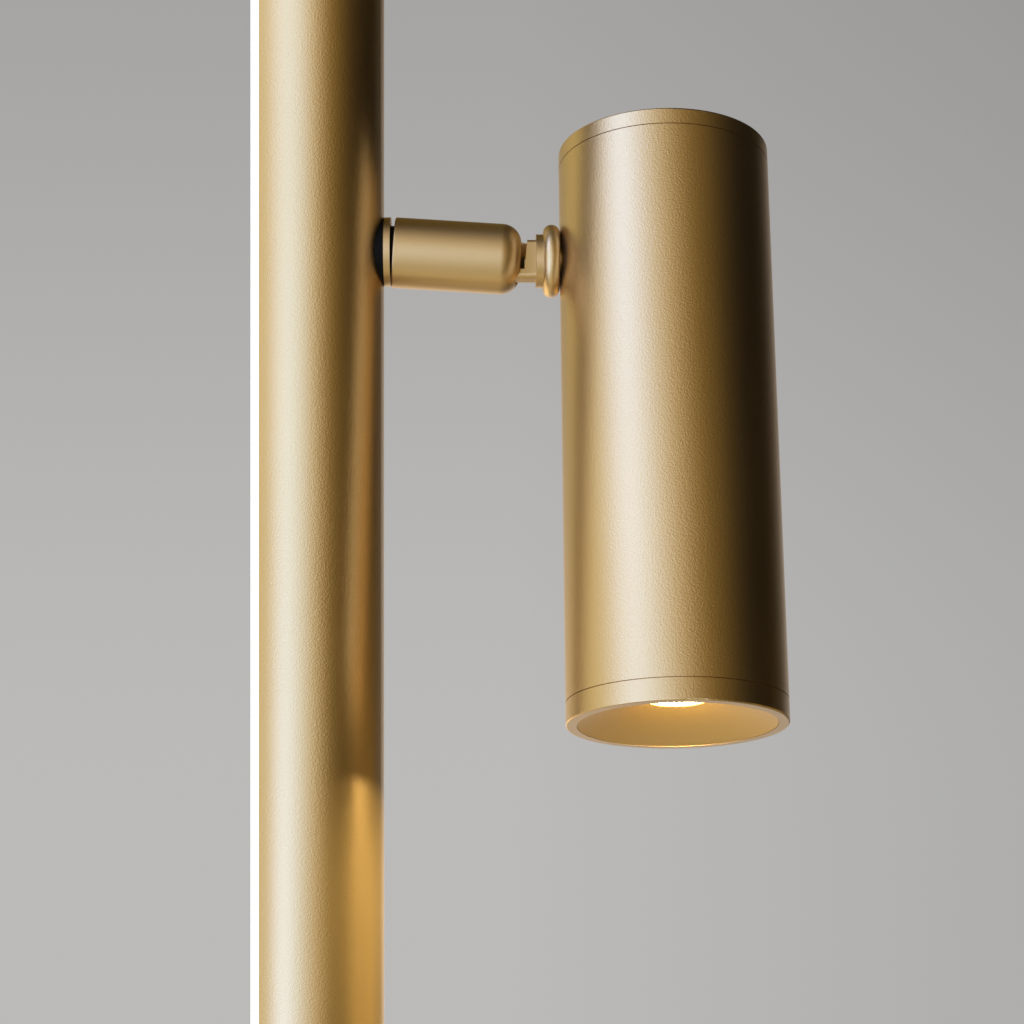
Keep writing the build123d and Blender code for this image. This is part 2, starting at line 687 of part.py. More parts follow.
def in_head(shape):
    """Moves a piece that was drawn on the Z axis to the head's axis."""
    return head_frame * Pos(head_x, 0, 0) * shape


def head_shell():
    """Plain tube of the head, with a hole for the stud."""
    tube = disc(head_radius, shell_bottom, shell_top)
    tube -= disc(head_inner, shell_bottom, shell_top)
    return in_head(tube - rod_x(STUD_DIA / 2 + SEAT_FIT, -HEAD_DIA, 0))


def head_saddle():
    """Washer that sits round in the head and gives its nut a flat seat."""
    flat = head_saddle_flat - head_x
    washer = rod_x(HEAD_SADDLE_DIA / 2, -head_radius, flat)
    washer -= rod_x(STUD_DIA / 2 + SEAT_FIT, -head_radius, flat)
    return in_head(washer & disc(head_inner - SEAT_FIT / 2, -HEAD_DIA, HEAD_DIA))


def head_nut():
    """Nut that clamps the head on the stud."""
    end = head_saddle_flat + HEAD_NUT_THICK
    nut = hex_x(HEAD_NUT_FLATS, head_saddle_flat, end)
    return head_frame * (nut - rod_x(STUD_DIA / 2 + PRESS_FIT, head_saddle_flat, end))


def head_cap():
    """Lid of the head: a narrow band above the seam and a hollow plug below it."""
    lid = disc(head_radius, shell_top + SEAM_GAP, head_top)
    lid = round_edges(lid, Axis.Z, -1, CAP_EDGE_ROUND)
    lid += disc(seam_radius, shell_top, shell_top + SEAM_GAP)
    plug = head_inner - SEAT_FIT
    lid += disc(plug, shell_top - CAP_PLUG_DEPTH, shell_top)
    return in_head(lid - disc(plug - CAP_PLUG_WALL, shell_top - CAP_PLUG_DEPTH, shell_top))


def head_bezel():
    """Bottom ring of the head, with a thin collar that screws into the shell."""
    ring = disc(head_radius, head_bottom, shell_bottom - SEAM_GAP)
    ring = round_edges(ring, Axis.Z, 0, BEZEL_EDGE_ROUND)
    ring += disc(seam_radius, shell_bottom - SEAM_GAP, shell_bottom)
    ring += disc(head_inner - SEAT_FIT, shell_bottom, bezel_top)
    return in_head(ring - disc(bezel_bore, head_bottom, bezel_top))


def spot_reflector():
    """Shallow cone from the bezel's bore up to the lens, with a skirt that grips the bore."""
    skirt_top = reflector_foot + REFLECTOR_SKIRT
    inside = reflector_rim - REFLECTOR_WALL
    outline = Polyline(
        (reflector_rim, reflector_foot),
        (reflector_mouth, reflector_top),
        (reflector_mouth, reflector_top + REFLECTOR_WALL),
        (inside, reflector_foot + REFLECTOR_WALL),
        (inside, skirt_top),
        (reflector_rim, skirt_top),
        close=True,
    )
    return in_head(revolve(Plane.XZ * make_face(outline), Axis.Z))


def spot_lens():
    """Round lens in the cone's mouth, with a flange behind the cone."""
    lens = disc(LENS_DIA / 2, lens_bottom, lens_top)
    return in_head(lens + disc(LENS_DIA / 2 + LENS_FLANGE, flange_bottom, lens_top))


def led_emitter():
    """Lit chip behind the lens."""
    return in_head(disc(EMITTER_DIA / 2, emitter_bottom, board_bottom))


def board_screw_places():
    """Spots on both sides of the lens."""
    return ((-BOARD_SCREW_RADIUS, 0), (BOARD_SCREW_RADIUS, 0))


def led_board():
    """Round metal board that carries the chip."""
    board = disc(BOARD_DIA / 2, board_bottom, board_top)
    for x, y in board_screw_places():
        board -= Pos(x, y) * disc(BOARD_SCREW_DIA / 2 + SEAT_FIT, board_bottom, board_top)
    return in_head(board)


def board_screws():
    """Screws that hold the board on the heat sink."""
    screw = socket_screw(BOARD_SCREW_DIA, BOARD_THICK + BOARD_SCREW_GRIP)
    return in_head(group(Pos(x, y, board_bottom) * screw for x, y in board_screw_places()))


def heat_sink():
    """Finned block that rests on the bezel's collar and cools the board."""
    sink = disc(bezel_bore - SLIDE_FIT, board_top, bezel_top)
    sink += disc(head_inner - SLIDE_FIT, bezel_top, sink_plate_top)
    core = disc(head_inner - SLIDE_FIT, sink_plate_top, sink_plate_top + SINK_HEIGHT)
    for number in range(FIN_COUNT):
        middle = (number - (FIN_COUNT - 1) / 2) * FIN_PITCH
        fin = Pos(0, middle, sink_plate_top + SINK_HEIGHT / 2)
        sink += (fin * Box(HEAD_DIA, FIN_THICK, SINK_HEIGHT)) & core
    sink -= disc(HEAD_LEAD_DIA / 2 + LEAD_HOLE_FIT, board_top, sink_plate_top)
    for x, y in board_screw_places():
        hole = disc(BOARD_SCREW_DIA / 2 + SEAT_FIT, board_top, board_top + BOARD_SCREW_GRIP + SEAT_FIT)
        sink -= Pos(x, y) * hole
    return in_head(sink)


def head_lead():
    """Wire from the stud's mouth through the stud and down to the board."""
    points = ((TONGUE_REACH, 0, 0), (head_x, 0, 0), (head_x, 0, board_top))
    return head_frame * lead(points, HEAD_LEAD_BEND, HEAD_LEAD_DIA)


PIECES = (
    base_plate,
    base_pad,
    base_cover,
    cover_screws,
    cord_gland,
    terminal_block,
    pole_spigot,
    spigot_screws,
    pole_set_screws,
    pole_profile,
    pole_cap,
    line_diffuser,
    led_tape,
    led_phosphor,
    pole_lead,
    tape_lead,
    arm_gasket,
    arm_collar,
    arm_wedge,
    arm_nipple,
    inner_saddle,
    nipple_nut,
    knuckle_barrel,
    swivel_bush,
    swivel_washer,
    hinge_pin,
    friction_discs,
    knuckle_tongue,
    head_ring,
    head_shell,
    head_saddle,
    head_nut,
    head_cap,
    head_bezel,
    spot_reflector,
    spot_lens,
    led_emitter,
    led_board,
    board_screws,
    heat_sink,
    head_lead,
)

os.makedirs("parts", exist_ok=True)
for piece in PIECES:
    export_step(piece(), os.path.join("parts", piece.__name__ + ".step"))
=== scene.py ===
import math

import bpy
import numpy as np
from bpy.props import FloatProperty, FloatVectorProperty, PointerProperty
from bpy.types import Operator, Panel, PropertyGroup
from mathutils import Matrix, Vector


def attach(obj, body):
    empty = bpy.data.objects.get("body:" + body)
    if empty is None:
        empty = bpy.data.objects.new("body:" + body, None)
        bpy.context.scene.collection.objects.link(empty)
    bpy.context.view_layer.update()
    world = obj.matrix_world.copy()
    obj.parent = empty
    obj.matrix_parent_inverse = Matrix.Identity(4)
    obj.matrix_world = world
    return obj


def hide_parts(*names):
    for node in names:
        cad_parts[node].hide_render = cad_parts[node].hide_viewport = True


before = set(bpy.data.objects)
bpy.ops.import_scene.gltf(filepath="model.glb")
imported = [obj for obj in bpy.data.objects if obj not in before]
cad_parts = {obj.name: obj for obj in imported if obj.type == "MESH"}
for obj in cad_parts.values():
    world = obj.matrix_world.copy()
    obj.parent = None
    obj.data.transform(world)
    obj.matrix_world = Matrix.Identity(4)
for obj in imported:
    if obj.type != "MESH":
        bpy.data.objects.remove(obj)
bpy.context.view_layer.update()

bl_info = {
    "name": "Light-line floor lamp",
    "version": (1, 0, 0),
    "blender": (4, 5, 0),
    "location": "3D View > Sidebar > Lamp",
    "description": "Finishes, lens and stage of a floor lamp with a line of light and a swivelling spot",
    "category": "Object",
}

MILLIMETRE = 0.001
SENSOR_WIDTH = 36.0

# Lens: its face, as seen from below, is a shallow dish with fine rings
LENS_STEPS = 60
LENS_RINGS = 6
LENS_RIPPLE = 0.05 * MILLIMETRE
LENS_DISH = 0.35 * MILLIMETRE
LENS_RECESS = 0.6 * MILLIMETRE
LENS_SHOULDER = 0.52  # height of the flange, as a share of the lens's thickness
LENS_FACE_SHARE = 0.1  # the face's rim is looked for in this share of the thickness
LENS_CREASE = 40.0
ROUND_STEPS = 96

# Light that leaves the spot
BEAM_SPREAD = 180.0
BEAM_BLEND = 1.0
GLOW_BLEND = 0.5
SOURCE_RADIUS = 0.4 * MILLIMETRE

# Metal and floor
GOLD_METALLIC = 0.97
FLOOR_RINGS = 24
FLOOR_FADE_START = 0.4  # share of the floor's radius

# Backdrop: heights and sides are parts of the view direction's Z and X
BACKDROP_FOOT_Z = -0.12
BACKDROP_TOP_Z = 0.28
SHADE_WIDTH = 0.2
SHADE_LEVEL = 0.86


# Settings that a user would change

class LampFinish(PropertyGroup):
    """Colours and textures of the lamp's own pieces."""

    gold: FloatVectorProperty(
        name="Gold", description="Colour of the satin gold metal", subtype="COLOR",
        size=3, min=0.0, max=1.0, default=(0.64, 0.46, 0.235))
    cone: FloatVectorProperty(
        name="Cone", description="Colour of the painted cone round the lens", subtype="COLOR",
        size=3, min=0.0, max=1.0, default=(0.61, 0.36, 0.09))
    gold_roughness: FloatProperty(
        name="Gold roughness", description="How blurred the pole's and the head's reflections are",
        subtype="FACTOR", min=0.0, max=1.0, default=0.31)
    turned_roughness: FloatProperty(
        name="Turned roughness", description="How blurred the knuckle's reflections are",
        subtype="FACTOR", min=0.0, max=1.0, default=0.36)
    grain_size: FloatProperty(
        name="Grain size", description="Width of one grain of the blasted metal",
        unit="LENGTH", min=0.0001, max=0.01, default=0.0005)
    grain_depth: FloatProperty(
        name="Grain depth", description="Height of the grain",
        unit="LENGTH", min=0.0, max=0.001, default=0.00008)
    line_colour: FloatVectorProperty(
        name="Line of light", description="Colour of the lit opal cover", subtype="COLOR",
        size=3, min=0.0, max=1.0, default=(1.0, 0.972, 0.925))
    line_strength: FloatProperty(
        name="Line strength", description="Brightness of the lit opal cover",
        min=0.0, max=20.0, default=1.05)
    spot_colour: FloatVectorProperty(
        name="Spot light", description="Colour of the spot's light", subtype="COLOR",
        size=3, min=0.0, max=1.0, default=(1.0, 0.79, 0.38))
    lens_strength: FloatProperty(
        name="Lens strength", description="Brightness of the lit lens",
        min=0.0, max=500.0, default=40.0)
    spot_power: FloatProperty(
        name="Spot power", description="Light that leaves the spot and that metal mirrors",
        unit="POWER", min=0.0, max=100.0, default=1.9)
    spot_glow: FloatProperty(
        name="Spot glow", description="Light that leaves the spot and that only matt surfaces show",
        unit="POWER", min=0.0, max=100.0, default=8.0)
    spot_height: FloatProperty(
        name="Spot source", description="How far the source lies above the rim",
        unit="LENGTH", min=0.0005, max=0.03, default=0.0021)
    spot_offset: FloatProperty(
        name="Spot offset", description="How far the source lies behind the spot's axis",
        unit="LENGTH", min=0.0, max=0.03, default=0.022)


class LampStage(PropertyGroup):
    """Camera, lights, floor and background."""

    camera_place: FloatVectorProperty(
        name="Camera", description="Where the camera stands", subtype="TRANSLATION",
        unit="LENGTH", size=3, default=(0.0563, -0.697, 1.1788))
    camera_lens: FloatProperty(
        name="Focal length", description="Camera lens, for a sensor 36 mm wide",
        min=10.0, max=500.0, default=86.34)
    floor_colour: FloatVectorProperty(
        name="Floor", description="Colour of the pale floor", subtype="COLOR",
        size=3, min=0.0, max=1.0, default=(0.66, 0.65, 0.63))
    floor_radius: FloatProperty(
        name="Floor radius", description="Where the floor has faded out",
        unit="LENGTH", min=1.0, max=20.0, default=4.0)
    backdrop_top: FloatVectorProperty(
        name="Backdrop, high", description="Background above the horizon", subtype="COLOR",
        size=3, min=0.0, max=1.0, default=(0.367, 0.362, 0.353))
    backdrop_foot: FloatVectorProperty(
        name="Backdrop, low", description="Background below the horizon", subtype="COLOR",
        size=3, min=0.0, max=1.0, default=(0.497, 0.492, 0.481))
    floor_light: FloatProperty(
        name="Floor light", description="Power of the soft light above, which lights only the floor",
        unit="POWER", min=0.0, max=1000.0, default=60.0)


# Meshes

def mesh_from_rings(name, points, rings, around):
    """Piece from rings of points that close on themselves: quads join each ring to the next, and the
    first and last points are poles, which close the ends with triangles."""
    row = np.arange(rings - 1)[:, None] * around + 1
    column = np.arange(around)
    beside = (column + 1) % around
    quads = np.stack([row + column, row + beside, row + around + beside, row + around + column], -1)
    last_row = 1 + (rings - 1) * around
    low = np.stack([np.zeros(around, int), 1 + beside, 1 + column], -1)
    high = np.stack([np.full(around, last_row + around), last_row + column, last_row + beside], -1)
    corners = np.concatenate([quads.reshape(-1), low.reshape(-1), high.reshape(-1)]).astype(np.int32)
    counts = np.repeat([4, 3], [(rings - 1) * around, 2 * around]).astype(np.int32)
    mesh = bpy.data.meshes.new(name)
    mesh.vertices.add(len(points))
    mesh.vertices.foreach_set("co", np.asarray(points, np.float32).reshape(-1))
    mesh.loops.add(len(corners))
    mesh.loops.foreach_set("vertex_index", corners)
    mesh.polygons.add(len(counts))
    mesh.polygons.foreach_set("loop_start", np.concatenate([[0], np.cumsum(counts)[:-1]]).astype(np.int32))
    mesh.polygons.foreach_set("use_smooth", np.ones(len(counts), bool))
    mesh.update(calc_edges=True)
    mesh.validate()
    piece = bpy.data.objects.new(name, mesh)
    bpy.context.scene.collection.objects.link(piece)
    return piece


def lathe(name, radius, height, around, centre, axis):
    """Surface of revolution: a profile of radii and heights, from one pole to the other, is carried
    round the axis, so a point is centre + height * axis + radius * (cos * side + sin * front)."""
    side = np.cross(axis, (0.0, 1.0, 0.0))
    side /= np.linalg.norm(side)
    front = np.cross(axis, side)
    angle = np.linspace(0.0, 2.0 * math.pi, around, endpoint=False)
    spokes = np.cos(angle)[:, None] * side + np.sin(angle)[:, None] * front
    rings = centre + height[1:-1, None, None] * axis + radius[1:-1, None, None] * spokes
    ends = centre + height[[0, -1], None] * axis
    points = np.concatenate([ends[:1], rings.reshape(-1, 3), ends[1:]])
    return mesh_from_rings(name, points, len(radius) - 2, around)


def node_points(node):
    """All vertices of a CAD node, as an array."""
    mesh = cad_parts[node].data
    points = np.empty(len(mesh.vertices) * 3, np.float32)
    mesh.vertices.foreach_get("co", points)
    return points.reshape(-1, 3).astype(float)


def turned_axis(node):
    """Middle and upward axis of a flat turned node: the axis is the direction in which it is thinnest."""
    points = node_points(node)
    middle = points.mean(0)
    axis = np.linalg.svd(points - middle, full_matrices=False)[2][2]
    axis *= math.copysign(1.0, axis[2])
    along = (points - middle) @ axis
    return middle, axis, along.min(), along.max()


# Shader nodes

def add_node(tree, kind, place, **values):
    """One node, with its properties and the defaults of its named inputs set."""
    node = tree.nodes.new(kind)
    node.location = place
    for key, value in values.items():
        if key in node.inputs:
            node.inputs[key].default_value = value
        else:
            setattr(node, key, value)
    return node


def join(tree, source, output, target, entry):
    """Link from one node's output to another node's input."""
    tree.links.new(source.outputs[output], target.inputs[entry])


def grain_group():
    """Grain of blasted, lacquered or moulded surfaces: fine grains that tint and lift the surface, and
    broad clouds that change its gloss."""
    found = bpy.data.node_groups.get("surface_grain")
    if found:
        return found
    tree = bpy.data.node_groups.new("surface_grain", "ShaderNodeTree")
    sockets = (
        ("Colour", "INPUT", "NodeSocketColor", None),
        ("Roughness", "INPUT", "NodeSocketFloat", 0.4),
        ("Grain Scale", "INPUT", "NodeSocketFloat", 1000.0),
        ("Cloud Scale", "INPUT", "NodeSocketFloat", 20.0),
        ("Tone Spread", "INPUT", "NodeSocketFloat", 0.1),
        ("Gloss Spread", "INPUT", "NodeSocketFloat", 0.1),
        ("Colour", "OUTPUT", "NodeSocketColor", None),
        ("Roughness", "OUTPUT", "NodeSocketFloat", None),
        ("Height", "OUTPUT", "NodeSocketFloat", None),
    )
    for name, direction, kind, default in sockets:
        socket = tree.interface.new_socket(name, in_out=direction, socket_type=kind)
        if default is not None:
            socket.default_value = default
    inputs = add_node(tree, "NodeGroupInput", (-900, 0))
    outputs = add_node(tree, "NodeGroupOutput", (700, 0))
    place = add_node(tree, "ShaderNodeTexCoord", (-900, -260))
    fine = add_node(tree, "ShaderNodeTexNoise", (-640, -120), Detail=2.0, Roughness=0.6)
    cloud = add_node(tree, "ShaderNodeTexNoise", (-640, -400), Detail=3.0, Roughness=0.55)
    join(tree, place, "Object", fine, "Vector")
    join(tree, place, "Object", cloud, "Vector")
    join(tree, inputs, "Grain Scale", fine, "Scale")
    join(tree, inputs, "Cloud Scale", cloud, "Scale")
    both = add_node(tree, "ShaderNodeMath", (-420, -160), operation="ADD")
    join(tree, fine, 0, both, 0)
    join(tree, cloud, 0, both, 1)
    swing = add_node(tree, "ShaderNodeMath", (-240, -160), operation="SUBTRACT")
    swing.inputs[1].default_value = 1.0
    join(tree, both, 0, swing, 0)
    tone = add_node(tree, "ShaderNodeMath", (-60, -120), operation="MULTIPLY_ADD")
    tone.inputs[2].default_value = 1.0
    join(tree, swing, 0, tone, 0)
    join(tree, inputs, "Tone Spread", tone, 1)
    tinted = add_node(tree, "ShaderNodeVectorMath", (160, 60), operation="SCALE")
    join(tree, inputs, "Colour", tinted, 0)
    join(tree, tone, 0, tinted, "Scale")
    drift = add_node(tree, "ShaderNodeMath", (-240, -400), operation="SUBTRACT")
    drift.inputs[1].default_value = 0.5
    join(tree, cloud, 0, drift, 0)
    gloss = add_node(tree, "ShaderNodeMath", (-60, -340), operation="MULTIPLY_ADD")
    join(tree, drift, 0, gloss, 0)
    join(tree, inputs, "Gloss Spread", gloss, 1)
    join(tree, inputs, "Roughness", gloss, 2)
    join(tree, tinted, 0, outputs, "Colour")
    join(tree, gloss, 0, outputs, "Roughness")
    join(tree, fine, 0, outputs, "Height")
    return tree


def grained(name, colour, roughness, metallic, grain, depth, tone=0.06, gloss=0.08, cloud=18.0, **shader):
    """Material with grain: the group's colour, roughness and height go into one Principled shader."""
    material = bpy.data.materials.new(name)
    material.use_nodes = True
    material.diffuse_color = (*colour, 1.0)
    tree = material.node_tree
    tree.nodes.clear()
    output = add_node(tree, "ShaderNodeOutputMaterial", (620, 0))
    surface = add_node(tree, "ShaderNodeBsdfPrincipled", (320, 0), Metallic=metallic, **shader)
    pattern = add_node(tree, "ShaderNodeGroup", (-180, 0), node_tree=grain_group())
    pattern.inputs["Colour"].default_value = (*colour, 1.0)
    pattern.inputs["Roughness"].default_value = roughness
    pattern.inputs["Grain Scale"].default_value = 1.0 / grain
    pattern.inputs["Cloud Scale"].default_value = cloud
    pattern.inputs["Tone Spread"].default_value = tone
    pattern.inputs["Gloss Spread"].default_value = gloss
    bump = add_node(tree, "ShaderNodeBump", (80, -260), Distance=depth)
    join(tree, pattern, "Colour", surface, "Base Color")
    join(tree, pattern, "Roughness", surface, "Roughness")
    join(tree, pattern, "Height", bump, "Height")
    join(tree, bump, "Normal", surface, "Normal")
    join(tree, surface, "BSDF", output, "Surface")
    return material


def dress(material, *nodes):
    """Gives CAD nodes a finish."""
    for node in nodes:
        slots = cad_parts[node].data.materials
        slots.clear()
        slots.append(material)


def dress_gold(name, roughness, depth, *nodes):
    """Satin gold on CAD nodes, in the colour and grain of the settings."""
    finish = bpy.context.scene.lamp_finish
    gold = grained(
        name, tuple(finish.gold), roughness, GOLD_METALLIC, finish.grain_size, depth, tone=0.10, gloss=0.06)
    dress(gold, *nodes)


# Pieces

class LAMP_OT_pole(Operator):
    """Satin gold on the pole and its cap"""

    bl_idname = "lamp.pole"
    bl_label = "Pole"

    def execute(self, context):
        finish = context.scene.lamp_finish
        dress_gold("gold_pole", finish.gold_roughness, finish.grain_depth, "pole_profile", "pole_cap")
        return {"FINISHED"}


class LAMP_OT_base(Operator):
    """Satin gold on the base, and the pieces under it"""

    bl_idname = "lamp.base"
    bl_label = "Base"

    def execute(self, context):
        finish = context.scene.lamp_finish
        dress_gold("gold_base", finish.gold_roughness, finish.grain_depth, "base_plate")
        rubber = grained(
            "pad_rubber", (0.018, 0.018, 0.019), 0.78, 0.0, 0.0012, 0.00008, tone=0.5, gloss=0.15)
        dress(rubber, "base_pad")
        moulded = grained(
            "gland_plastic", (0.022, 0.022, 0.023), 0.5, 0.0, 0.0005, 0.00002, tone=0.3)
        dress(moulded, "cord_gland")
        return {"FINISHED"}


class LAMP_OT_line(Operator):
    """Lit opal cover with the light tape behind it"""

    bl_idname = "lamp.line"
    bl_label = "Line of light"

    def execute(self, context):
        finish = context.scene.lamp_finish
        opal = grained(
            "lit_opal", (0.82, 0.81, 0.79), 0.42, 0.0, 0.0015, 0.00001, tone=0.03,
            **{"Emission Strength": finish.line_strength, "Emission Color": (*finish.line_colour, 1.0)})
        dress(opal, "line_diffuser")
        phosphor = grained(
            "lit_phosphor", (0.86, 0.78, 0.42), 0.6, 0.0, 0.0004, 0.00003, tone=0.1,
            **{"Emission Strength": 1.0, "Emission Color": (*finish.spot_colour, 1.0)})
        dress(phosphor, "led_phosphor", "led_emitter")
        circuit = grained("circuit_white", (0.80, 0.80, 0.78), 0.45, 0.0, 0.001, 0.00001, tone=0.05)
        dress(circuit, "led_tape", "led_board")
        return {"FINISHED"}


class LAMP_OT_arm(Operator):
    """Turned gold pieces from the pole to the head"""

    bl_idname = "lamp.arm"
    bl_label = "Arm"

    def execute(self, context):
        finish = context.scene.lamp_finish
        dress_gold(
            "gold_turned", finish.turned_roughness, 0.5 * finish.grain_depth,
            "arm_collar", "knuckle_barrel", "knuckle_tongue", "head_ring")
        # Near-black, nearly glossless rubber in the wedge gap between the flat collar and the round pole:
        # partly a black gasket, partly painted shade of that gap
        rubber = grained(
            "gasket_and_gap_shade", (0.005, 0.005, 0.005), 0.6, 0.0, 0.0008, 0.00002, tone=0.3,
            **{"Specular IOR Level": 0.1})
        dress(rubber, "arm_gasket", "arm_wedge")
        return {"FINISHED"}


class LAMP_OT_head(Operator):
    """Satin gold on the head, its cap, bezel and reflector"""

    bl_idname = "lamp.head"
    bl_label = "Head"

    def execute(self, context):
        finish = context.scene.lamp_finish
        dress_gold(
            "gold_head", finish.gold_roughness, finish.grain_depth,
            "head_shell", "head_cap", "head_bezel")
        paint = grained(
            "gold_cone", tuple(finish.cone), 0.45, 0.25, finish.grain_size, 0.5 * finish.grain_depth,
            tone=0.08)
        dress(paint, "spot_reflector")
        return {"FINISHED"}


class LAMP_OT_spot(Operator):
    """Ringed lens of the spot and the light that leaves it"""

    bl_idname = "lamp.spot"
    bl_label = "Spot"

    def execute(self, context):
        finish = context.scene.lamp_finish
        middle, axis, low, high = turned_axis("spot_lens")
        foot = middle + low * axis
        from_foot = node_points("spot_lens") - foot
        spread = np.linalg.norm(np.cross(from_foot, axis), axis=1)
        flange = spread.max()
        thick = high - low
        face = spread[from_foot @ axis < LENS_FACE_SHARE * thick].max()
        outward = np.linspace(0.0, 1.0, LENS_STEPS)
        ripple = LENS_RIPPLE * (1.0 - np.cos(2.0 * math.pi * LENS_RINGS * outward))
        dish = LENS_DISH * (1.0 - outward ** 2) + LENS_RECESS
        shoulder = LENS_SHOULDER * thick
        radius = np.concatenate([face * outward, [face, flange, flange, 0.0]])
        height = np.concatenate([ripple + dish, [shoulder, shoulder, thick, thick]])
        lens = lathe("lit_lens", radius, height, ROUND_STEPS, foot, axis)
        lens.data.set_sharp_from_angle(angle=math.radians(LENS_CREASE))
        lens.data.materials.append(grained(
            "lit_lens", (0.9, 0.9, 0.88), 0.18, 0.0, 0.002, 0.0, tone=0.04,
            **{"Emission Strength": finish.lens_strength, "Emission Color": (*finish.spot_colour, 1.0)}))
        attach(lens, "spot")
        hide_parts("spot_lens")

        rim_middle, _, rim_low, _ = turned_axis("head_bezel")
        back = np.array((0.0, 1.0, 0.0)) - axis[1] * axis
        back /= np.linalg.norm(back)
        rim = (rim_middle - foot) @ axis + rim_low
        source = foot + axis * (rim + finish.spot_height) + back * finish.spot_offset
        mouth = bpy.data.collections.new("spot_mouth")
        for piece in (lens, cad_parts["head_bezel"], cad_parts["spot_reflector"]):
            mouth.objects.link(piece)
        for entry in mouth.collection_objects:
            entry.light_linking.link_state = "EXCLUDE"
        for name, power, blend, mirrored in (
                ("spot_beam", finish.spot_power, BEAM_BLEND, True),
                ("spot_glow", finish.spot_glow, GLOW_BLEND, False)):
            beam = bpy.data.lights.new(name, "SPOT")
            beam.energy = power
            beam.color = finish.spot_colour
            beam.spot_size = math.radians(BEAM_SPREAD)
            beam.spot_blend = blend
            beam.shadow_soft_size = SOURCE_RADIUS
            lamp = bpy.data.objects.new(name, beam)
            context.scene.collection.objects.link(lamp)
            lamp.location = Vector(source)
            lamp.rotation_mode = "QUATERNION"
            lamp.rotation_quaternion = Vector(-axis).to_track_quat("-Z", "Y")
            lamp.visible_glossy = mirrored
            lamp.light_linking.receiver_collection = mouth
            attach(lamp, "spot")
        return {"FINISHED"}


class LAMP_OT_inner(Operator):
    """Steel, brass, aluminium and wires inside the lamp"""

    bl_idname = "lamp.inner"
    bl_label = "Inner pieces"

    def execute(self, context):
        steel = grained("zinc_steel", (0.56, 0.56, 0.55), 0.34, 1.0, 0.0008, 0.00001, tone=0.12)
        dress(
            steel, "base_cover", "cover_screws", "pole_spigot", "spigot_screws", "pole_set_screws",
            "inner_saddle", "nipple_nut", "swivel_washer", "hinge_pin", "head_saddle", "head_nut",
            "board_screws")
        brass = grained("raw_brass", (0.70, 0.50, 0.20), 0.32, 1.0, 0.0008, 0.00001, tone=0.1)
        dress(brass, "arm_nipple", "swivel_bush")
        aluminium = grained("raw_aluminium", (0.72, 0.72, 0.73), 0.42, 1.0, 0.0008, 0.00002, tone=0.1)
        dress(aluminium, "heat_sink")
        plastic = grained("white_plastic", (0.78, 0.78, 0.75), 0.4, 0.0, 0.001, 0.00001, tone=0.05)
        dress(plastic, "terminal_block", "friction_discs")
        wire = grained("grey_wire", (0.20, 0.20, 0.21), 0.5, 0.0, 0.002, 0.00002, tone=0.1)
        dress(wire, "pole_lead", "tape_lead", "head_lead")
        return {"FINISHED"}


# Stage

STUDIO = (
    # name, azimuth from the camera's side (positive to the right), elevation, sharpness, colour
    ("room", -66.0, -7.0, 0.7, (0.94, 0.90, 0.60)),
    ("front", -6.0, 16.0, 2.3, (0.50, 0.34, 0.06)),
    ("window", -28.0, 6.0, 9.0, (0.10, 0.70, 2.10)),
    ("window_top", -63.0, 41.0, 16.0, (0.70, 1.45, 4.10)),
    ("window_foot", -50.0, -20.0, 18.0, (0.60, 1.20, 3.40)),
    ("left", -128.0, 39.0, 3.3, (0.25, 0.17, 0.0)),
    ("back_left", -145.0, -30.0, 14.0, (1.80, 1.40, 0.85)),
    ("back", 177.0, -12.0, 8.0, (0.95, 0.88, 0.84)),
    ("below", 0.0, -90.0, 8.0, (0.62, 0.50, 0.32)),
    ("warm_side", 80.0, -24.0, 45.0, (1.30, 0.88, 0.30)),
    ("warm_back", 112.0, -22.0, 45.0, (1.20, 0.78, 0.24)),
)


def aimed(azimuth, elevation):
    """Direction to a place around the lamp: 0 is the camera's side, positive angles turn to the right."""
    turn, rise = math.radians(azimuth), math.radians(elevation)
    return (math.sin(turn) * math.cos(rise), -math.cos(turn) * math.cos(rise), math.sin(rise))


